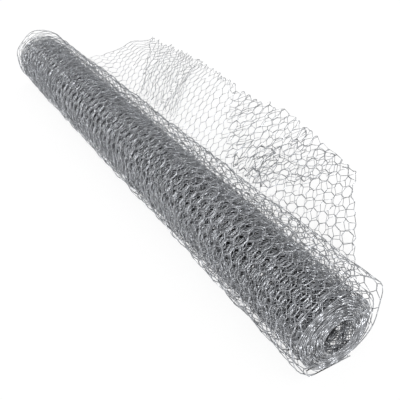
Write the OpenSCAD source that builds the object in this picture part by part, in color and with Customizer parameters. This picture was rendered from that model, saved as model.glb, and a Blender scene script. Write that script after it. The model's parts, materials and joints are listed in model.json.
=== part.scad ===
// Roll of hexagonal wire netting, lying on a floor.
// One sheet of netting: wound tight, then one loose turn, then a free end that lies behind
// the roll and bends up. Millimetres. X runs along the roll, Y towards the free end, Z up.
// The floor is at Z = 0 and the origin is below the middle of the whole outline.

/* [Netting] */
// Width of the netting, which is the length of the roll
roll_l = 1000; // [600:10:1500]
// Thickness of one layer of netting, measured at its twists
sheet_t = 1.8; // [1.4:0.1:2.4]

/* [Tight turns] */
// Outside diameter of the tight turns
tight_d = 100; // [80:1:110]
// Diameter of the hole through the roll
bore_d = 42; // [20:1:60]
// Distance from one tight turn to the next, rounded so that whole turns fit
turn_pitch = 1.7; // [1.2:0.05:3]
// Width of the gap that shows between two turns on the ends
turn_gap = 0.5; // [0.3:0.1:0.8]
// Depth of that gap
turn_gap_depth = 3; // [1:0.5:8]
// How far the innermost turn stands out of the near end and is sunk in the far end
telescope = 6; // [0:1:20]

/* [Loose turn] */
// Outside diameter of the loose turn at the near end
loose_near_d = 129; // [128:1:160]
// How much narrower the loose turn is at the far end
loose_taper = 12; // [0:1:12]

/* [Free end] */
// Length of the flat run on the floor, from below the roll's axis to the bend
floor_run = 134; // [100:1:180]
// Inside radius of the bend
bend_r = 24; // [5:1:40]
// Angle at which the free end rises from the floor
rise_angle = 49; // [20:1:70]
// Reach of the free end behind the roll's axis at its near corner
near_reach = 218; // [200:1:260]
// Reach of the free end at its far corner
far_reach = 220; // [200:1:260]
// How far the edge of the free end bows out past the line between its corners
crest_bow = 17; // [0:1:40]
// Reach at which the far edge turns in to the far corner
far_shoulder = 190; // [150:1:199]
// How far the near edge slants in, from below the roll to the near corner
near_skew = 214; // [0:1:250]
// How far the far corner is clipped in
far_clip = 110; // [20:1:200]

/* [Hidden] */

fine = 96;
bend_steps = 8;
margin = 5;

// the loose turn is bedded this far up in the flat run, and the tight turns this far in the
// loose turn, so that the sheet is one solid where its layers press together
loose_bed = 0.3;
tight_bed = 0.5;
lap = 10;

tight_r = tight_d / 2;
bore_r = bore_d / 2;
loose_near_r = loose_near_d / 2;
loose_far_r = loose_near_r - loose_taper / 2;
turns = round((tight_r - bore_r) / turn_pitch);
turn_step = (tight_r - bore_r) / turns;
tight_z = loose_bed + sheet_t + tight_r - tight_bed;

mid_reach = (near_reach + far_reach) / 2 + crest_bow;
reach_max = max(near_reach, mid_reach, far_reach);
rise_l = (reach_max - floor_run) / cos(rise_angle) + margin;
rise_h = bend_r + rise_l * sin(rise_angle) + margin;
mid_x = -roll_l / 5;

origin_x = telescope / 2;
origin_y = (reach_max - loose_near_r) / 2;

// how far turn i stands out along X: the innermost most, the outermost not at all
function stand_out(i) = telescope * (1 - i / (turns - 1));
function turn_r(i) = bore_r + i * turn_step;

// outline of one end of the tight turns, from the bore outwards; side is 1 near and -1 far
function end_points(side) = [
    for (i = [0 : turns - 1])
    let (face = side * roll_l / 2 + stand_out(i), floor_x = face - side * turn_gap_depth)
    let (r0 = turn_r(i), r1 = turn_r(i + 1), last = i == turns - 1)
    for (p = last
        ? [[r0, face], [r1, face]]
        : [[r0, face], [r1 - turn_gap, face], [r1 - turn_gap, floor_x], [r1, floor_x]]) p
];

function reversed(list) = [for (i = [len(list) - 1 : -1 : 0]) list[i]];

function bend_arc(r) = [
    for (i = [0 : bend_steps])
    let (a = rise_angle * i / bend_steps)
    [floor_run + r * sin(a), sheet_t + bend_r - r * cos(a)]
];

function rise_tip(r) = bend_arc(r)[bend_steps] + rise_l * [cos(rise_angle), sin(rise_angle)];

// turns a drawing of the roll's cross-section, in Y and Z, so that it is extruded along X
module along_x(length) {
    translate([-length / 2, 0, 0])
        rotate([90, 0, 90])
            linear_extrude(height = length)
                children();
}

module tight_turns() {
    translate([0, 0, tight_z])
        rotate([0, 90, 0])
            rotate_extrude($fn = fine)
                polygon(concat(end_points(1), reversed(end_points(-1))));
}

// a tube that widens towards the near end, tilted so that its lowest line lies on the floor
module loose_turn() {
    slope = (loose_near_r - loose_far_r) / roll_l;
    length = roll_l + 2 * margin;
    r_far = loose_far_r - margin * slope;
    r_near = loose_near_r + margin * slope;
    intersection() {
        translate([-length / 2, 0, loose_bed])
            rotate([0, -atan(slope), 0])
                translate([0, 0, r_far])
                    rotate([0, 90, 0])
                        difference() {
                            cylinder(h = length, r1 = r_far, r2 = r_near, $fn = fine);
                            translate([0, 0, -margin])
                                cylinder(
                                    h = length + 2 * margin,
                                    r1 = r_far - sheet_t - margin * slope,
                                    r2 = r_near - sheet_t + margin * slope,
                                    $fn = fine
                                );
                        }
        translate([-roll_l / 2, -loose_near_d, -margin])
            cube([roll_l, 2 * loose_near_d, loose_near_d + 2 * margin]);
    }
}

module free_end_section() {
    under = bend_r + sheet_t;
    polygon(concat(
        [[-lap, 0]], bend_arc(under), [rise_tip(under)],
        [rise_tip(bend_r)], reversed(bend_arc(bend_r)), [[-lap, sheet_t]]
    ));
}

module free_end_plan() {
    polygon([
        [roll_l / 2, -lap - margin],
        [roll_l / 2, 0],
        [roll_l / 2 - near_skew, near_reach],
        [mid_x, mid_reach],
        [far_clip - roll_l / 2, far_reach],
        [-roll_l / 2, far_shoulder],
        [-roll_l / 2, -lap - margin]
    ]);
}

module free_end() {
    intersection() {
        along_x(roll_l + 2 * margin) free_end_section();
        translate([0, 0, -margin])
            linear_extrude(height = rise_h + margin)
                free_end_plan();
    }
}

module netting_roll() {
    color("silver")
        translate([-origin_x, -origin_y, 0])
            union() {
                tight_turns();
                loose_turn();
                free_end();
            }
}

netting_roll();
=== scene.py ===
# %% [markdown]
# # A roll of twisted wire netting
# The object is one sheet of hexagonal netting: thin steel wires, twisted round each other in
# pairs. It is wound tight first, then come two loose turns, and its free end lies behind the
# roll, bends up and is folded over at the top. In this lesson we draw one small repeat of the
# netting, copy it into a flat sheet as the weaving machine would, and then wind that sheet up,
# because a wound sheet is what the real thing is.
#
# The solid model of the roll is loaded first. It is only a frame: it gives the sizes and says
# where the roll lies, and in the picture the wires that we make stand in for it.

# %% Load the frame
import json
import math
import bpy
import numpy as np
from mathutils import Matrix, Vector


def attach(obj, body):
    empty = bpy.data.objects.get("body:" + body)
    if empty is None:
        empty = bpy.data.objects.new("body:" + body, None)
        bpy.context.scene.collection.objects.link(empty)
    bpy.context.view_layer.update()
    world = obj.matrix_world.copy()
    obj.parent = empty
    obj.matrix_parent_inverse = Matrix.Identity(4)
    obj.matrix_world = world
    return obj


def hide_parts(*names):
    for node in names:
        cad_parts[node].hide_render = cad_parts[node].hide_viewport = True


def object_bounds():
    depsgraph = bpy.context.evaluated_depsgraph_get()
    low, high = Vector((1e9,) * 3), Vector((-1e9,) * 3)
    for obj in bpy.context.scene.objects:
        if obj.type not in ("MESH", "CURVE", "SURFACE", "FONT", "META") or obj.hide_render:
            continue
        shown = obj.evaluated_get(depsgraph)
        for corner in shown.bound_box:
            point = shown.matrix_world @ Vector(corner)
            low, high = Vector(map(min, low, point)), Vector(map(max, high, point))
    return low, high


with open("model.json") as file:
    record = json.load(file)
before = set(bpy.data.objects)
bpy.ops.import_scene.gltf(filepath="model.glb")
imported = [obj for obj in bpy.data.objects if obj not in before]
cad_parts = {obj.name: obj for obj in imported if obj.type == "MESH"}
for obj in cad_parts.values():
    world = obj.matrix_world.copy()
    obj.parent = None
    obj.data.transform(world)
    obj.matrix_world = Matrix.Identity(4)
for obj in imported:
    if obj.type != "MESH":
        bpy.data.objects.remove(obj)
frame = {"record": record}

cad_box = [list(corner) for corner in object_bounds()]
print("box of the solid model:", cad_box)

# %% [markdown]
# ## Sizes
# Everything is in metres. X runs along the roll, Y from the roll to its free end, and the floor
# is at Z = 0. The width of the netting, the bore and the place of the roll's axis are read from
# the solid model, so the wires land exactly where the solid is. The inner turns stand out of
# the near end by a few millimetres, and the loose turns are slimmer at the far end.

# %% Sizes of the roll
mounts = {mount["name"]: mount for mount in frame["record"]["mounts"]}
low, high = (Vector(corner) for corner in cad_box)
BORE_R = mounts["bore"]["dims"]["r_mm"] / 1000
AXIS_Y = mounts["bore"]["pos_m"][1]
AXIS_Z = mounts["bore"]["pos_m"][2]
TELESCOPE = 0.006
ROLL_L = high.x - low.x - TELESCOPE
MIDDLE_X = (low.x + high.x - TELESCOPE) / 2
TIGHT_R = 0.0500
LOOSE_TAPER = 0.006
LOOSE_NEAR_R = AXIS_Y - low.y
LOOSE_FAR_R = LOOSE_NEAR_R - LOOSE_TAPER
print("roll length", round(ROLL_L, 4), "axis at", AXIS_Y, AXIS_Z)
print("radius of the loose turns", round(LOOSE_FAR_R, 4), "to", round(LOOSE_NEAR_R, 4))

# %% [markdown]
# Netting is sold by the width of its cell. Here 57 cells go across a metre, and each cell is
# one twist and two straight stretches of wire. The pattern repeats after two rows, and such a
# stretch of two rows is called a tile below. The edge wires are a little thicker.

# %% Sizes of the netting
COLUMNS = 57
CELL_W = ROLL_L / COLUMNS
ROW = 0.0170
TWIST_L = 0.0095
WIRE_R = 0.00045
EDGE_WIRE_R = 0.00065
TILE_L = 2 * ROW
print("cell", round(CELL_W * 1000, 2), "mm wide, rows", ROW * 1000, "mm apart")

# %% [markdown]
# ## One repeat of the netting
# Two neighbouring wires are twisted together one and a half times, part, and are twisted with
# the neighbours on the other side in the next row. The repeat that we need is therefore one
# cell wide and two rows long. A wire could be extruded ring by ring, with a turn at each step,
# but a path that carries a section does the same and keeps the section square to the path. So
# we draw each wire as a curve, give it a small polygon to carry, and convert it to a mesh.
#
# Some small helpers come first. An operator works on whatever is selected, so a piece is made
# the active one only after everything is deselected. The number of its wire is kept on each
# corner of the mesh, so that later a whole wire can be taken away, and never a part of one.

# %% Helpers for objects
def deselect_all():
    bpy.ops.object.select_all(action="DESELECT")


def make_active(piece):
    deselect_all()
    piece.select_set(True)
    bpy.context.view_layer.objects.active = piece


def set_wire_numbers(mesh, numbers):
    """Writes on each corner of the mesh which wire it belongs to."""
    if "wire" not in mesh.attributes:
        mesh.attributes.new("wire", "INT", "POINT")
    mesh.attributes["wire"].data.foreach_set("value", numbers.astype(np.int32))


def wire_numbers(mesh):
    """Reads those numbers back, one for each corner of the mesh."""
    numbers = np.empty(len(mesh.vertices), dtype=np.int32)
    mesh.attributes["wire"].data.foreach_get("value", numbers)
    return numbers


def flat_points(mesh):
    """The places of all corners of a mesh, as three rows of numbers."""
    flat = np.empty(len(mesh.vertices) * 3)
    mesh.vertices.foreach_get("co", flat)
    return flat.reshape(-1, 3).T


# %% [markdown]
# The section of a wire is a polygon of three or four sides: a wire is under a millimetre thick
# and there are tens of thousands of them, so smooth shading has to make it look round. Its ends
# are capped, and the caps are merged with the tube, which closes the mesh.

# %% Wires from paths
ROUND_SIDES = 4
PLAIN_SIDES = 3
MERGE_WITHIN = 0.000001


def wire_profile(sides):
    """The section of a wire, a regular polygon of radius 1, which the path carries along."""
    profile = bpy.data.curves.new("wire_profile", "CURVE")
    profile.dimensions = "2D"
    ring = profile.splines.new("POLY")
    ring.points.add(sides - 1)
    ring.use_cyclic_u = True
    for i, point in enumerate(ring.points):
        turn = 2 * math.pi * i / sides
        point.co = (math.cos(turn), math.sin(turn), 0.0, 1.0)
    return bpy.data.objects.new("wire_profile", profile)


def wires_to_mesh(name, wires, sides):
    """Draws wires, equally long lists of (point, radius), and gives them as one mesh object."""
    path = bpy.data.curves.new(name, "CURVE")
    path.dimensions = "3D"
    path.bevel_mode = "OBJECT"
    path.bevel_object = wire_profile(sides)
    path.use_fill_caps = True
    for wire in wires:
        spline = path.splines.new("POLY")
        spline.points.add(len(wire) - 1)
        for point, (place, radius) in zip(spline.points, wire):
            point.co = (*place, 1.0)
            point.radius = radius
    piece = bpy.data.objects.new(name, path)
    bpy.context.scene.collection.objects.link(piece)
    make_active(piece)
    bpy.ops.object.convert(target="MESH")
    bpy.data.objects.remove(path.bevel_object)
    mesh = bpy.context.view_layer.objects.active.data
    # the mesh holds the caps first, the last wire's foremost, and then the tubes in order
    of_caps = np.repeat(np.arange(len(wires))[::-1], 2 * sides)
    of_tubes = np.repeat(np.arange(len(wires)), len(wires[0]) * sides)
    set_wire_numbers(mesh, np.concatenate([of_caps, of_tubes]))
    bpy.ops.object.mode_set(mode="EDIT")
    bpy.ops.mesh.select_all(action="SELECT")
    bpy.ops.mesh.remove_doubles(threshold=MERGE_WITHIN)
    bpy.ops.mesh.normals_make_consistent(inside=False)
    bpy.ops.object.mode_set(mode="OBJECT")
    return bpy.context.view_layer.objects.active


print("a wire has", ROUND_SIDES, "sides, or", PLAIN_SIDES, "deep inside the roll")

# %% [markdown]
# Netting seen from nearby gets real twisted pairs: two spirals half a turn apart, which run on
# into the two slanting stretches. Deep inside the roll only the glint and the gap of each cell
# can be seen, so there each twist is one thicker wire, which takes a fifth of the triangles.
# The slanting stretches are straight, or slightly bowed where they are drawn in two steps.

# %% Two kinds of repeat
TWIST_STEPS = 6
HALF_TURNS = 3
TWIST_R = 1.05 * WIRE_R
PLAIN_TWIST_R = 1.7 * WIRE_R
SLANT_BOW = 0.05


def twisted_pair(u, s, slant_steps):
    """The two wires of one twist at (u, s), each with the stretch that leads to the next row."""
    wires = []
    for side in (-1, 1):
        wire = []
        for step in range(TWIST_STEPS + 1):
            part = step / TWIST_STEPS
            turn = math.pi * HALF_TURNS * part
            along = s + (part - 0.5) * TWIST_L
            across = u + side * TWIST_R * math.cos(turn)
            wire.append(((across, along, side * TWIST_R * math.sin(turn)), WIRE_R))
        for step in range(1, slant_steps + 1):
            part = step / slant_steps
            bow = SLANT_BOW * math.sin(math.pi * part)
            across = u - side * CELL_W / 2 * (part + bow)
            along = s + TWIST_L / 2 + (ROW - TWIST_L) * part
            wire.append(((across, along, 0.0), WIRE_R))
        wires.append(wire)
    return wires


def plain_twist(u, s):
    """A twist as one thick wire, with the two thin wires that leave it."""
    start = (u, s - TWIST_L / 2, 0.0)
    end = (u, s + TWIST_L / 2, 0.0)
    wires = [[(start, PLAIN_TWIST_R), (end, PLAIN_TWIST_R)]]
    for side in (-1, 1):
        leave = (u + side * WIRE_R / 2, s + TWIST_L / 2, 0.0)
        next_row = (u + side * CELL_W / 2, s + ROW - TWIST_L / 2, 0.0)
        wires.append([(leave, WIRE_R), (next_row, WIRE_R)])
    return wires


print("wires in one repeat:", 2 * len(twisted_pair(0, 0, 1)), "or", 2 * len(plain_twist(0, 0)))

# %% [markdown]
# ## A flat sheet
# An array modifier copies the repeat across the sheet and then along it, just as the machine
# makes one row after another. What would stick out past an edge has to go. A boolean or a
# bisect would slice wires open, so we look where the middle of each wire lies, and take away
# whole wires.

# %% Copying and cutting
def repeat(sheet, axis, pitch, count):
    """Copies the sheet along one axis, and gives the wires of each copy numbers of their own."""
    array = sheet.modifiers.new("repeat", "ARRAY")
    array.use_relative_offset = False
    array.use_constant_offset = True
    array.constant_offset_displace = [pitch if i == axis else 0.0 for i in range(3)]
    array.count = count
    make_active(sheet)
    bpy.ops.object.modifier_apply(modifier=array.name)
    numbers = wire_numbers(sheet.data)
    copy_of = np.arange(len(numbers)) // (len(numbers) // count)
    set_wire_numbers(sheet.data, numbers + copy_of * (numbers.max() + 1))


def cut_wires(sheet, keep):
    """Takes away each wire whose middle lies at a (u, s) of the sheet where keep is false."""
    u, s, _ = flat_points(sheet.data)
    _, wire = np.unique(wire_numbers(sheet.data), return_inverse=True)
    corners = np.bincount(wire)
    kept = keep(np.bincount(wire, u) / corners, np.bincount(wire, s) / corners)
    make_active(sheet)
    bpy.ops.object.mode_set(mode="EDIT")
    bpy.ops.mesh.select_mode(type="VERT")
    bpy.ops.mesh.select_all(action="DESELECT")
    bpy.ops.object.mode_set(mode="OBJECT")
    sheet.data.vertices.foreach_set("select", ~kept[wire])
    bpy.ops.object.mode_set(mode="EDIT")
    bpy.ops.mesh.delete(type="VERT")
    bpy.ops.object.mode_set(mode="OBJECT")


print("copies of the repeat across the sheet:", COLUMNS + 1)

# %% [markdown]
# Each side of real netting ends in one straight and thicker wire, round which the last wires
# are bent. It is drawn in lengths of one row, so that it can be wound with the sheet and cut
# at the same places. A full sheet is then the repeat, copied and cut, with both edge wires.

# %% Flat sheet
EDGE_STEPS = 2


def edge_wires(name, tiles, keep):
    """The wires that run along both edges of the sheet, in lengths of one row."""
    wires = []
    for side in (-1, 1):
        edge = side * ROLL_L / 2
        places = [(edge, step * ROW / EDGE_STEPS, 0.0) for step in range(EDGE_STEPS + 1)]
        wires.append([(place, EDGE_WIRE_R) for place in places])
    edges = wires_to_mesh(name + "_edges", wires, ROUND_SIDES)
    repeat(edges, 1, ROW, 2 * tiles)
    cut_wires(edges, keep)
    return edges


def flat_netting(name, slant_steps, tiles, keep):
    """A flat sheet as wide as the roll and some tiles long; without slant steps it is plain."""
    odd_row = (-CELL_W / 2 - ROLL_L / 2, ROW / 2)
    even_row = (-ROLL_L / 2, ROW * 1.5)
    if slant_steps:
        wires = twisted_pair(*odd_row, slant_steps) + twisted_pair(*even_row, slant_steps)
        sheet = wires_to_mesh(name, wires, ROUND_SIDES)
    else:
        wires = plain_twist(*odd_row) + plain_twist(*even_row)
        sheet = wires_to_mesh(name, wires, PLAIN_SIDES)
    repeat(sheet, 0, CELL_W, COLUMNS + 1)
    cut_wires(sheet, lambda u, s: np.abs(u) < ROLL_L / 2 + WIRE_R / 2)
    repeat(sheet, 1, TILE_L, tiles)
    cut_wires(sheet, keep)
    edges = edge_wires(name, tiles, keep)
    make_active(sheet)
    edges.select_set(True)
    bpy.ops.object.join()
    return sheet


print("edge wires lie at", -ROLL_L / 2, "and", ROLL_L / 2, "m across the sheet")

# %% [markdown]
# ## Winding the sheet
# A bend modifier bends to one radius, but a roll is a spiral whose radius grows, and its free
# end straightens out. So a function says where each point of the flat sheet goes: from its
# place across the sheet (u), along it (s) and off it (n) it works out its place round the roll.
#
# No cell of real netting is quite like the next, so a smooth unevenness is added, made of a few
# slanting waves whose seed is fixed. A noise texture could do it too, but waves are easily
# worked out for any point. A second one depends only on the place round the roll: turns that
# lie on each other are pushed aside together, and so their twists stay in line.

# %% Unevenness
RIPPLE_WAVES = 5
RIPPLE_HEIGHT = 2.2
PUSHED_BY = 0.0008
PUSHED_WAVE = 0.06


def ripple(across, along, wave, seed):
    """A smooth, repeatable unevenness of about one unit, with bumps about a wave across."""
    chance = np.random.default_rng(seed)
    total = np.zeros_like(across)
    for _ in range(RIPPLE_WAVES):
        heading = chance.uniform(0, 2 * math.pi)
        length = wave * chance.uniform(0.7, 1.5)
        phase = chance.uniform(0, 2 * math.pi)
        distance = across * math.cos(heading) + along * math.sin(heading)
        total += np.sin(2 * math.pi * distance / length + phase)
    return total / RIPPLE_HEIGHT


def pushed_aside(u, angle):
    """How far a point is pushed along the roll, the same for all turns on top of each other."""
    return PUSHED_BY * ripple(u, TIGHT_R * np.cos(angle), PUSHED_WAVE, 22)


sample = ripple(np.linspace(0, ROLL_L, 500), np.zeros(500), PUSHED_WAVE, 22)
print("unevenness from", round(sample.min(), 2), "to", round(sample.max(), 2), "units")

# %% [markdown]
# Each point of the flat sheet is first jogged a little, both across and along the sheet, and
# then sent to its place. The shake of a turn says how much of the jog across it gets. At the
# two edges nothing is jogged across, because the edge wires are pulled straight. Winding turns
# the sheet's two sides round, so n changes its sign; otherwise all faces would point inwards.

# %% Winding
FINE_JOG = 0.0011
FINE_JOG_WAVE = 0.032
BROAD_JOG = 0.0012
BROAD_JOG_WAVE = 0.16
JOG_ALONG = 0.3


def jog(u, s, seed):
    """How far a point is moved within the sheet, in metres: a fine jog and a broad one."""
    fine = FINE_JOG * ripple(u, s, FINE_JOG_WAVE, seed)
    return fine + BROAD_JOG * ripple(u, s, BROAD_JOG_WAVE, seed + 1)


def wind(sheet, start, place, shake):
    """Moves each point of a flat sheet to its place on the roll."""
    mesh = sheet.data
    u, s, n = flat_points(mesh)
    s = s + start
    inside = np.clip((ROLL_L / 2 - np.abs(u)) / CELL_W, 0, 1)
    across = u + shake * jog(u, s, 11) * inside
    x, y, z = place(across, s + JOG_ALONG * jog(u, s, 13), -n)
    mesh.vertices.foreach_set("co", np.stack([x, y, z], axis=1).ravel())
    mesh.update()


sample = jog(np.linspace(-ROLL_L / 2, ROLL_L / 2, 500), np.zeros(500), 11)
print("one row is jogged by up to", round(np.abs(sample).max() * 1000, 1), "mm at a shake of 1")

# %% [markdown]
# The tight turns are a spiral from the bore outwards. Its length is added up step by step, and
# is then fitted to whole tiles. The inner turns stand out of the near end a little, as they do
# when a roll has been carried about. The middle of netting that lies on something, be it the
# spindle that it was wound on or the floor, is LAID above it.

# %% The tight turns
LAID = 0.0008
FIRST_R = BORE_R + LAID
TURNS = 17
STEPS_A_TURN = 60
LAYER_UNEVEN = 0.0006
LAYER_WAVE = 0.06
SPIRAL_TURNS = np.linspace(0, TURNS, STEPS_A_TURN * TURNS)
SPIRAL_R = np.interp(SPIRAL_TURNS, (0, TURNS), (FIRST_R, TIGHT_R))
spiral_steps = SPIRAL_R[1:] * np.diff(SPIRAL_TURNS) * 2 * math.pi
spiral_s = np.concatenate([[0], np.cumsum(spiral_steps)])
TIGHT_TILES = round(spiral_s[-1] / TILE_L)
SPIRAL_S = spiral_s * (TIGHT_TILES * TILE_L / spiral_s[-1])


def tight_place(u, s, n):
    """Where a point of the flat sheet goes in the tight turns."""
    turns_in = np.interp(s, SPIRAL_S, SPIRAL_TURNS)
    radius = np.interp(s, SPIRAL_S, SPIRAL_R)
    inward = 1 - (radius - FIRST_R) / (TIGHT_R - FIRST_R)
    angle = 2 * math.pi * (turns_in - TURNS)
    radius = radius + n + LAYER_UNEVEN * ripple(u, s, LAYER_WAVE, 21)
    x = MIDDLE_X + u + TELESCOPE * inward + pushed_aside(u, angle)
    return x, AXIS_Y + radius * np.sin(angle), AXIS_Z - radius * np.cos(angle)


print("tight turns take", round(SPIRAL_S[-1], 2), "m of netting in", TIGHT_TILES, "tiles")

# %% [markdown]
# The two loose turns start where the tight ones end. They could be two plain tubes, but netting
# springs open bit by bit: it steps off the tight turns within the first quarter of a turn, then
# stays close to them, and widens to its full radius by about the start of the second turn.

# %% Radius of the loose turns
LOOSE_TURNS = 2
LOOSE_STATIONS = 400
STEPS_OFF_UNTIL = 0.5 * math.pi
STEPS_OFF_BY = 0.28
WIDENS_FROM = 1.25 * math.pi
WIDENS_OVER = 0.9 * math.pi
WIDENS_BY = 0.72


def smooth_step(value):
    """Goes from 0 to 1 as the value does, without a kink at either end."""
    value = np.clip(value, 0, 1)
    return value * value * (3 - 2 * value)


def loose_radius(angle, u):
    """Radius of the loose turns, by the angle from where they start, below the axis."""
    near = u / ROLL_L + 0.5
    full = LOOSE_FAR_R + (LOOSE_NEAR_R - LOOSE_FAR_R) * near - LAID
    first = STEPS_OFF_BY * smooth_step(angle / STEPS_OFF_UNTIL)
    second = WIDENS_BY * smooth_step((angle - WIDENS_FROM) / WIDENS_OVER)
    return TIGHT_R + (full - TIGHT_R) * (first + second)


LOOSE_ANGLES = np.linspace(0, 2 * math.pi * LOOSE_TURNS, LOOSE_STATIONS)
loose_steps = loose_radius(LOOSE_ANGLES[1:], 0.0) * np.diff(LOOSE_ANGLES)
LOOSE_LENGTHS = np.concatenate([[0], np.cumsum(loose_steps)])
LOOSE_S = LOOSE_LENGTHS[-1]
print("loose turns take", round(LOOSE_S, 3), "m of netting")

# %% [markdown]
# Past the lowest point of the second turn the sheet leaves the roll, runs flat along the floor
# and bends up. A straight run, a round bend and a straight rise can be written down as they
# are, and no curve has to be drawn for them.

# %% Path of the free end
FLOOR_RUN = 0.134
BEND_R = 0.0249
RISE = math.radians(49)


def free_end_place(s):
    """Distance from below the axis, height and heading of the free end, s from that point."""
    turned = np.clip((s - FLOOR_RUN) / BEND_R, 0, RISE)
    flat = np.clip(s, 0, FLOOR_RUN)
    risen = np.clip(s - FLOOR_RUN - BEND_R * RISE, 0, None)
    y = flat + BEND_R * np.sin(turned) + risen * math.cos(RISE)
    z = LAID + BEND_R * (1 - np.cos(turned)) + risen * math.sin(RISE)
    return y, z, turned


print("the bend ends", round(float(free_end_place(FLOOR_RUN + BEND_R * RISE)[1]), 4), "m up")

# %% [markdown]
# The loose turns rest on the floor, so their axis rises as they widen. The first of them starts
# on top of the netting that is pressed flat between roll and floor. Loose netting is less even
# than the tight turns, the more so on the free end, and on top of the near end it sinks in a
# little, because nothing holds it up there. No wire may go below the floor.

# %% The loose turns
PRESSED = 0.0017
LOOSE_UNEVEN = 0.0016
LOOSE_WAVE = 0.055
TURN_SWELL = 0.0010
FREE_SWELL = 0.0020
SWELL_WAVE = 0.19
EVEN_START = 0.05
SAG = 0.007
SAG_FROM_U = 0.1
SAG_OVER_U = 0.4
SAG_Y = -0.025
SAG_HALF_W = 0.03


def loose_place(u, s, n):
    """Where a point of the flat sheet goes in the loose turns and on the free end."""
    angle = np.interp(s, LOOSE_LENGTHS, LOOSE_ANGLES)
    radius = loose_radius(angle, u)
    lift = PRESSED + (LAID - PRESSED) * smooth_step((angle - math.pi) / math.pi)
    end_y, end_z, heading = free_end_place(np.clip(s - LOOSE_S, 0, None))
    on_roll = s < LOOSE_S
    y = np.where(on_roll, radius * np.sin(angle), end_y)
    z = np.where(on_roll, lift + radius * (1 - np.cos(angle)), end_z)
    facing = np.where(on_roll, angle, heading)
    swell = np.where(on_roll, TURN_SWELL, FREE_SWELL)
    uneven = LOOSE_UNEVEN * ripple(u, s, LOOSE_WAVE, 31) + swell * ripple(u, s, SWELL_WAVE, 37)
    n = n + uneven * smooth_step(s / EVEN_START)
    y = y + n * np.sin(facing)
    sag = SAG * smooth_step((u - SAG_FROM_U) / SAG_OVER_U)
    sag = sag * np.exp(-(((y - SAG_Y) / SAG_HALF_W) ** 2))
    z = np.maximum(z - n * np.cos(facing) - sag, WIRE_R)
    return MIDDLE_X + u + pushed_aside(u, angle), AXIS_Y + y, z


print("the netting sinks in by up to", SAG, "m at the near end")

# %% [markdown]
# ## Folds of the free end
# The sheet was cut off unevenly: two stretches of its end are longer than the rest and will
# hang back as leaves once the end is folded over. The near leaf is folded in another way than
# the corner beside it, so a slit parts the two. Each table below goes across the sheet (U) and
# gives a place along it (S), both in metres, with S counted from below the axis of the roll.

# %% Outline of the free end
CUT_U = (-0.5, -0.31, -0.235, -0.02, 0.115, 0.200, 0.300, 0.380)
CUT_S = (0.400, 0.400, 0.286, 0.284, 0.420, 0.445, 0.445, 0.340)
SLIT_U = 0.286
SLIT_FROM_S = 0.262
SLIT_TO_S = 0.352
SLIT_HALF_W = 0.008


def within_cut(u, s):
    """Where there is netting: up to the line of the cut, and not along the slit."""
    past = s - LOOSE_S
    along = (np.abs(u - SLIT_U) < SLIT_HALF_W) & (past > SLIT_FROM_S) & (past < SLIT_TO_S)
    across = (u > SLIT_U) & (np.abs(past - SLIT_TO_S) < SLIT_HALF_W)
    return (past < np.interp(u, CUT_U, CUT_S)) & ~along & ~across


print("free end reaches", min(CUT_S), "to", max(CUT_S), "m along the sheet")

# %% [markdown]
# A sheet is folded by turning everything past a line back over it, round a small radius. That
# can be said in one function and used for each fold, first for one distance from the line and
# then for a straight line that slants across the sheet.

# %% Folding
def fold_over(past, lift, fold_r, opening):
    """Turns what lies past a fold back over the sheet: new distance past it, and new lift."""
    full_turn = math.pi - opening
    turn = np.clip(past / fold_r, 0, full_turn)
    back = np.clip(past - full_turn * fold_r, 0, None)
    new_past = fold_r * np.sin(turn) - back * np.cos(opening) - lift * np.sin(turn)
    new_lift = fold_r * (1 - np.cos(turn)) + back * np.sin(opening) + lift * np.cos(turn)
    folded = past > 0
    return np.where(folded, new_past, past), np.where(folded, new_lift, lift)


def fold_along(line, u, s, lift, fold_r, opening):
    """Folds the sheet over a straight line; what is on the right of its direction turns over."""
    (u0, s0), (u1, s1) = line
    length = math.hypot(u1 - u0, s1 - s0)
    across = ((s1 - s0) / length, -(u1 - u0) / length)
    past = (u - u0) * across[0] + (s - s0) * across[1]
    new_past, new_lift = fold_over(past, lift, fold_r, opening)
    moved = new_past - past
    return u + moved * across[0], s + moved * across[1], new_lift


back, height = fold_over(0.05, 0.0, 0.004, math.radians(36))
print("a leaf of 50 mm, opened 36 degrees, ends at", round(float(back), 4), round(float(height), 4))

# %% [markdown]
# The near corner of the free end is folded in under a slanting line, and so is the side of the
# near leaf. Then the top edge is folded over along its crest: the far leaf lies nearly flat on
# the sheet and hangs askew, and the rest stands open. The folds are done in the order in which
# hands would do them, because each one moves the next. A fold line is given by two of its
# points, as (U, S). The far edge leans in and is raised, by tables that go along the sheet.

# %% Folds of the free end
NEAR_FOLD = ((0.500, 0.000), (0.286, 0.256))
LEAF_FOLD = ((0.286, 0.256), (0.212, 0.420))
SIDE_FOLD_R = 0.004
SIDE_OPENING = math.radians(2.5)
CREST_U = (-0.5, -0.39, -0.25, -0.13, -0.05, -0.02, 0.03, 0.10, 0.20, 0.286, 0.5)
CREST_S = (0.258, 0.262, 0.271, 0.273, 0.268, 0.263, 0.268, 0.276, 0.264, 0.253, 0.240)
CREST_FOLD_R = 0.004
CREST_UNEVEN = 0.003
CREST_WAVE = 0.02
OPENING_U = (-0.12, -0.03)
OPENING_DEGREES = (5, 36)
FAR_LEAF_U = -0.1
FAR_LEAF_SKEW = 0.8
LEAN_S = (0.17, 0.19, 0.231, 0.262)
LEAN_BY = (0, 0.002, 0.032, 0.110)
LEAN_FROM_U = -0.05
LEAN_OVER_U = 0.45
RAISED_S = (0, 0.04, 0.081, 0.13, 0.155, 0.19, 0.21)
RAISED_BY = (0, 0.008, 0.026, 0.036, 0.027, 0.004, 0)
RAISED_FROM_U = -0.34
RAISED_OVER_U = 0.16


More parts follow.
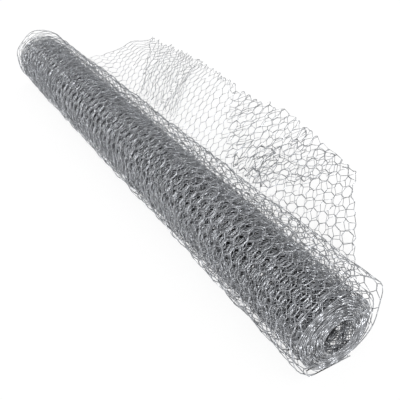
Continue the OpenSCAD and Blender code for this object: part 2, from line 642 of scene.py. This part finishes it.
def folded_place(u, s, n):
    """Where a point of the flat sheet goes on the folded free end."""
    past = s - LOOSE_S
    on_leaf = np.clip(past - np.interp(u, CREST_U, CREST_S), 0, None)
    on_leaf = on_leaf * ((u < SLIT_U) | (past > SLIT_TO_S))
    corner = fold_along(NEAR_FOLD, u, past, -n, SIDE_FOLD_R, SIDE_OPENING)
    leaf = fold_along(LEAF_FOLD, u, past, -n, SIDE_FOLD_R, SIDE_OPENING)
    u, past, lift = np.where(on_leaf > 0, leaf, corner)
    skew = FAR_LEAF_SKEW * on_leaf * (u < FAR_LEAF_U)
    lean = np.interp(past, LEAN_S, LEAN_BY) * smooth_step((LEAN_FROM_U - u) / LEAN_OVER_U)
    u = u + lean + skew
    at_far_edge = smooth_step((RAISED_FROM_U - u) / RAISED_OVER_U)
    crest = np.interp(u, CREST_U, CREST_S) + CREST_UNEVEN * ripple(u, 0 * u, CREST_WAVE, 41)
    opening = np.radians(np.interp(u, OPENING_U, OPENING_DEGREES))
    beyond, lift = fold_over(past - crest, lift, CREST_FOLD_R, opening)
    x, y, z = loose_place(u, crest + beyond + LOOSE_S, -lift)
    return x, y, z + np.interp(crest + beyond, RAISED_S, RAISED_BY) * at_far_edge


print("free end folds over", min(CREST_S), "to", max(CREST_S), "m from below the axis")

# %% [markdown]
# ## The turns
# Each piece is one stretch of the sheet: it is made flat, wound, and cleared of its wire
# numbers, which have done their work. The whole sheet could be one piece, but such a heavy mesh
# is slow to work with, so it is made stretch by stretch.

# %% Make one stretch
pieces = []


def everywhere(u, s):
    """Keeps all of the netting."""
    return np.full(u.shape, True)


def netting_piece(name, slant_steps, first_tile, tiles, place, shake, keep=everywhere):
    """Makes the stretch of netting that starts at a tile, and gives its triangles."""
    start = first_tile * TILE_L
    sheet = flat_netting(name, slant_steps, tiles, lambda u, s: keep(u, s + start))
    wind(sheet, start, place, shake)
    sheet.data.attributes.remove(sheet.data.attributes["wire"])
    pieces.append(sheet)
    triangles = sum(len(face.vertices) - 2 for face in sheet.data.polygons)
    print(name, "from", round(start, 2), "m:", triangles, "triangles")
    return triangles


print("a tile is", round(TILE_L * 1000), "mm of netting")

# %% [markdown]
# The stretches are chosen so that none has more than two hundred thousand triangles. The turns
# that lie on top get real twisted pairs, and only the one seen first, on the outside, has its
# slants bowed. The tight turns hold each other in place, so their cells are shaken less.

# %% Make all turns
PLAIN = 0
STRAIGHT = 1
BOWED = 2
TIGHT_SHAKE = 0.15
LOOSE_SHAKE = 0.6
INNER_TILES = 60
OUTER_TILES = 9
LOOSE_TILES = 11
FREE_TILES = 14
OUTMOST_FROM = TIGHT_TILES - OUTER_TILES
OUTER_FROM = OUTMOST_FROM - OUTER_TILES
MIDDLE_TILES = OUTER_FROM - INNER_TILES
FREE_FROM = 2 * LOOSE_TILES
total = netting_piece("inner_turns", PLAIN, 0, INNER_TILES, tight_place, TIGHT_SHAKE)
total += netting_piece("middle_turns", PLAIN, INNER_TILES, MIDDLE_TILES, tight_place, TIGHT_SHAKE)
total += netting_piece("outer_turn", STRAIGHT, OUTER_FROM, OUTER_TILES, tight_place, TIGHT_SHAKE)
total += netting_piece("outermost_turn", STRAIGHT, OUTMOST_FROM, OUTER_TILES, tight_place, TIGHT_SHAKE)
total += netting_piece("first_loose_turn", STRAIGHT, 0, LOOSE_TILES, loose_place, LOOSE_SHAKE)
total += netting_piece("second_loose_turn", BOWED, LOOSE_TILES, LOOSE_TILES, loose_place, LOOSE_SHAKE)
total += netting_piece(
    "free_end", STRAIGHT, FREE_FROM, FREE_TILES, folded_place, LOOSE_SHAKE, keep=within_cut
)
print("triangles in all:", total)

# %% [markdown]
# ## The finish of the wire
# Drawn stainless steel wire is a dull grey metal with small brighter and darker stretches where
# the die and the twisting tools have rubbed it. It could be one flat metal, but then every wire
# would shine alike, so it is put together from shader nodes. Each helper below adds one node,
# sets its values, links what goes into it and gives back what comes out.

# %% Helpers for nodes
def add_node(tree, kind, place, **settings):
    """A new node at a place in the node editor, with its settings."""
    node = tree.nodes.new(kind)
    node.location = place
    for name, value in settings.items():
        setattr(node, name, value)
    return node


def math_node(tree, operation, place, first, second=0.0):
    """One sum; each of its two inputs is a number or the output of another node."""
    node = add_node(tree, "ShaderNodeMath", place, operation=operation)
    for socket, value in zip(node.inputs, (first, second)):
        if isinstance(value, (int, float)):
            socket.default_value = value
        else:
            tree.links.new(value, socket)
    return node.outputs[0]


def noise_node(tree, place, vector, scale, detail):
    """A noise texture; the larger its scale, the finer it is."""
    noise = add_node(tree, "ShaderNodeTexNoise", place)
    noise.inputs["Scale"].default_value = scale
    noise.inputs["Detail"].default_value = detail
    tree.links.new(vector, noise.inputs["Vector"])
    return noise.outputs[0]


def range_node(tree, place, value, from_range, to_range):
    """Stretches a value from one range to another, and holds it there at both ends."""
    node = add_node(tree, "ShaderNodeMapRange", place)
    node.inputs["From Min"].default_value = from_range[0]
    node.inputs["From Max"].default_value = from_range[1]
    node.inputs["To Min"].default_value = to_range[0]
    node.inputs["To Max"].default_value = to_range[1]
    tree.links.new(value, node.inputs["Value"])
    return node.outputs[0]


def ramp_node(tree, place, value, stops):
    """A colour ramp; each stop is its position and its colour."""
    node = add_node(tree, "ShaderNodeValToRGB", place)
    elements = node.color_ramp.elements
    elements.remove(elements[1])
    elements[0].position = stops[0][0]
    elements[0].color = (*stops[0][1], 1)
    for position, colour in stops[1:]:
        elements.new(position).color = (*colour, 1)
    tree.links.new(value, node.inputs[0])
    return node.outputs[0]


print("materials so far:", [material.name for material in bpy.data.materials])

# %% [markdown]
# The roll is dark in its depth, where only light that has passed many turns gets in, and that
# shade is painted into the colour of the wire. A painted image could show it too, but a rule
# does it for every wire at once: a node group measures how deep a point lies. Near the two ends
# light comes in from the side, so there the depth counts for less and less shade is painted.

# %% Depth in the roll, for painted shade
# the radii between which shade is painted into the wire's colour, and the lit ends
SHALLOW_R = TIGHT_R + 0.001
DEEP_R = BORE_R
LIT_END_X = (0.470, 0.498)
LIT_END_SHARE = (1.0, 0.10)


def painted_shade_depth_group():
    """How deep in the roll a point lies: 0 on the outermost tight turn, 1 on the innermost."""
    group = bpy.data.node_groups.new("depth_in_roll", "ShaderNodeTree")
    group.interface.new_socket("Position", in_out="INPUT", socket_type="NodeSocketVector")
    group.interface.new_socket("Depth", in_out="OUTPUT", socket_type="NodeSocketFloat")
    inside = add_node(group, "NodeGroupInput", (-1000, 0))
    outside = add_node(group, "NodeGroupOutput", (500, 0))
    parts = add_node(group, "ShaderNodeSeparateXYZ", (-800, 0))
    group.links.new(inside.outputs["Position"], parts.inputs[0])
    aside = math_node(group, "SUBTRACT", (-600, 200), parts.outputs["Y"], AXIS_Y)
    above = math_node(group, "SUBTRACT", (-600, 0), parts.outputs["Z"], AXIS_Z)
    aside_squared = math_node(group, "MULTIPLY", (-400, 200), aside, aside)
    above_squared = math_node(group, "MULTIPLY", (-400, 0), above, above)
    squares = math_node(group, "ADD", (-200, 100), aside_squared, above_squared)
    radius = math_node(group, "SQRT", (0, 100), squares)
    depth = range_node(group, (150, 100), radius, (SHALLOW_R, DEEP_R), (0.0, 1.0))
    from_middle = math_node(group, "ABSOLUTE", (-200, -200), parts.outputs["X"])
    open_end = range_node(group, (0, -200), from_middle, LIT_END_X, LIT_END_SHARE)
    # how much shade is painted: the depth, counted for less near the two ends
    painted_shade = math_node(group, "MULTIPLY", (330, 0), depth, open_end)
    group.links.new(painted_shade, outside.inputs["Depth"])
    return group


print("depth 0 at a radius of", round(SHALLOW_R, 4), "m and 1 at", round(DEEP_R, 4), "m")

# %% [markdown]
# A noise texture in object coordinates now varies the colour of the wire between dull and
# bright, and a second and finer one its roughness. A third one, far finer than the wire is
# thick, makes its skin slightly uneven. A colour ramp turns the depth into a painted shade, a
# grey for each depth, by which the colour is multiplied. It is darkest deep in the roll,
# lightest a few turns under the surface, where it makes up for the light that the outer turns
# hold back, and somewhat darker on the outermost and the loose turns.

# %% Wire finish
DULL = (0.40, 0.41, 0.43)
BRIGHT = (0.80, 0.82, 0.86)
BLOTCH_RANGE = (0.36, 0.62)
RUBBED_RANGE = (0.3, 0.7)
ROUGHNESS = (0.26, 0.38)
# painted shade: a grey for each depth in the roll, by which the wire's colour is multiplied
PAINTED_SHADES = (
    (0.00, 0.74), (0.06, 0.60), (0.14, 0.90), (0.24, 1.00),
    (0.34, 0.95), (0.50, 0.38), (0.68, 0.14), (1.00, 0.05),
)


def wire_material():
    """Dull drawn steel with small glints, and painted shade, darkest in the depth of the roll."""
    material = bpy.data.materials.new("drawn_steel_wire")
    material.use_nodes = True
    tree = material.node_tree
    shader = tree.nodes["Principled BSDF"]
    position = add_node(tree, "ShaderNodeTexCoord", (-1300, 0)).outputs["Object"]
    blotches = noise_node(tree, (-1050, 0), position, scale=90, detail=3)
    clean = ramp_node(tree, (-800, 0), blotches, tuple(zip(BLOTCH_RANGE, (DULL, BRIGHT))))
    depth = add_node(tree, "ShaderNodeGroup", (-1050, 300), node_tree=painted_shade_depth_group())
    tree.links.new(position, depth.inputs["Position"])
    # the painted shade darkens the wire's colour by its depth in the roll
    stops = tuple((place, (grey, grey, grey)) for place, grey in PAINTED_SHADES)
    painted_shade = ramp_node(tree, (-800, 300), depth.outputs["Depth"], stops)
    colour = add_node(tree, "ShaderNodeMix", (-450, 150), data_type="RGBA", blend_type="MULTIPLY")
    colour.inputs[0].default_value = 1.0
    tree.links.new(painted_shade, colour.inputs[6])
    tree.links.new(clean, colour.inputs[7])
    tree.links.new(colour.outputs[2], shader.inputs["Base Color"])
    rubbed = noise_node(tree, (-1050, -250), position, scale=400, detail=2)
    roughness = range_node(tree, (-800, -250), rubbed, RUBBED_RANGE, ROUGHNESS)
    tree.links.new(roughness, shader.inputs["Roughness"])
    skin = noise_node(tree, (-1050, -500), position, scale=5000, detail=1)
    bump = add_node(tree, "ShaderNodeBump", (-450, -400))
    bump.inputs["Strength"].default_value = 0.15
    bump.inputs["Distance"].default_value = 0.00005
    tree.links.new(skin, bump.inputs["Height"])
    tree.links.new(bump.outputs[0], shader.inputs["Normal"])
    shader.inputs["Metallic"].default_value = 0.8
    return material


wire_finish = wire_material()
for piece in pieces:
    piece.data.materials.clear()
    piece.data.materials.append(wire_finish)
    make_active(piece)
    bpy.ops.object.shade_smooth()
    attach(piece, "root")
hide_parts("netting_roll")
print("material", wire_finish.name, "on", len(pieces), "pieces")

# %% [markdown]
# ## Camera
# The camera stands at the near end, somewhat above the roll, and looks along it, so that the
# far end is clearly smaller. A plain perspective camera with its depth of field off does that.

# %% Camera
CAMERA_PLACE = (MIDDLE_X + 0.8367, AXIS_Y - 0.3718, 0.5370)
CAMERA_HEADING = Vector((-0.7224, 0.4259, -0.5447))
scene = bpy.context.scene
lens = bpy.data.cameras.new("camera")
lens.sensor_width = 36.0
lens.lens = 54.65
lens.clip_start = 0.01
camera = bpy.data.objects.new("camera", lens)
scene.collection.objects.link(camera)
camera.location = CAMERA_PLACE
camera.rotation_euler = CAMERA_HEADING.to_track_quat("-Z", "Y").to_euler()
scene.camera = camera
print("camera", round(camera.location.length, 3), "m from the origin")

# %% [markdown]
# ## Floor and light
# The roll lies in a white room, so the floor is white where the camera or a glint looks at it;
# otherwise thin wires would vanish against a grey floor. There it glows, and a little plain
# paint on it takes the roll's shadow. All other rays meet pale paint, so that the floor doesn't
# light the roll from below more than a real one would.

# %% Floor
FLOOR_SIZE = 60
FLOOR_GLOW = 0.80
PALE = (0.60, 0.60, 0.60, 1)
SHADOWED = (0.22, 0.22, 0.22, 1)


def floor_paint():
    """Pale paint that is white to the camera and to glints."""
    paint = bpy.data.materials.new("pale_floor")
    paint.use_nodes = True
    tree = paint.node_tree
    pale = tree.nodes["Principled BSDF"]
    pale.inputs["Base Color"].default_value = PALE
    pale.inputs["Roughness"].default_value = 0.9
    ray = add_node(tree, "ShaderNodeLightPath", (-600, 300))
    by_camera = ray.outputs["Is Camera Ray"]
    by_glint = ray.outputs["Is Glossy Ray"]
    looked_at = math_node(tree, "MAXIMUM", (-400, 300), by_camera, by_glint)
    glow = add_node(tree, "ShaderNodeEmission", (-400, -100))
    glow.inputs["Strength"].default_value = FLOOR_GLOW
    shadowed = add_node(tree, "ShaderNodeBsdfDiffuse", (-400, -300))
    shadowed.inputs["Color"].default_value = SHADOWED
    white = add_node(tree, "ShaderNodeAddShader", (-200, -200))
    tree.links.new(glow.outputs[0], white.inputs[0])
    tree.links.new(shadowed.outputs[0], white.inputs[1])
    either = add_node(tree, "ShaderNodeMixShader", (0, 100))
    tree.links.new(looked_at, either.inputs[0])
    tree.links.new(pale.outputs[0], either.inputs[1])
    tree.links.new(white.outputs[0], either.inputs[2])
    tree.links.new(either.outputs[0], tree.nodes["Material Output"].inputs["Surface"])
    return paint


deselect_all()
bpy.ops.mesh.primitive_plane_add(size=FLOOR_SIZE, location=(0, 0, 0))
floor = bpy.context.view_layer.objects.active
floor.name = "floor"
floor.data.materials.append(floor_paint())
print("floor", round(floor.dimensions.x), "m wide")

# %% [markdown]
# A soft sky lights everything from all round. It is white where the camera sees it, and dimmer
# as a light, by a rule on the kind of ray. The standard view shows that white as plain white.

# %% Sky
SKY_SEEN = 1.0
SKY_LIGHT = 0.55
world = scene.world or bpy.data.worlds.new("soft_light")
scene.world = world
world.use_nodes = True
background = world.node_tree.nodes["Background"]
background.inputs["Color"].default_value = (1, 1, 1, 1)
ray = add_node(world.node_tree, "ShaderNodeLightPath", (-600, 0))
seen_white = ray.outputs["Is Camera Ray"]
strength = range_node(world.node_tree, (-300, 0), seen_white, (0.0, 1.0), (SKY_LIGHT, SKY_SEEN))
world.node_tree.links.new(strength, background.inputs["Strength"])
scene.view_settings.view_transform = "Standard"
print("sky", SKY_LIGHT, "as a light,", SKY_SEEN, "where it is seen")

# %% [markdown]
# One broad lamp shines from the near end. It makes the wires that run round the roll glint,
# which draws its turns as arcs. A point lamp would light the near end more than the far one,
# and a sun lamp lights both alike; its angle softens the shadow on the floor.

# %% Lamp
LAMP_HEADING = Vector((-0.75, 0.45, -0.50))
lamp_data = bpy.data.lights.new("broad_lamp", "SUN")
lamp_data.energy = 2.9
lamp_data.angle = math.radians(18)
lamp = bpy.data.objects.new("broad_lamp", lamp_data)
lamp.rotation_euler = LAMP_HEADING.to_track_quat("-Z", "Y").to_euler()
scene.collection.objects.link(lamp)
print("lamp", round(lamp_data.energy, 2), "turned by", [round(turn, 2) for turn in lamp.rotation_euler])
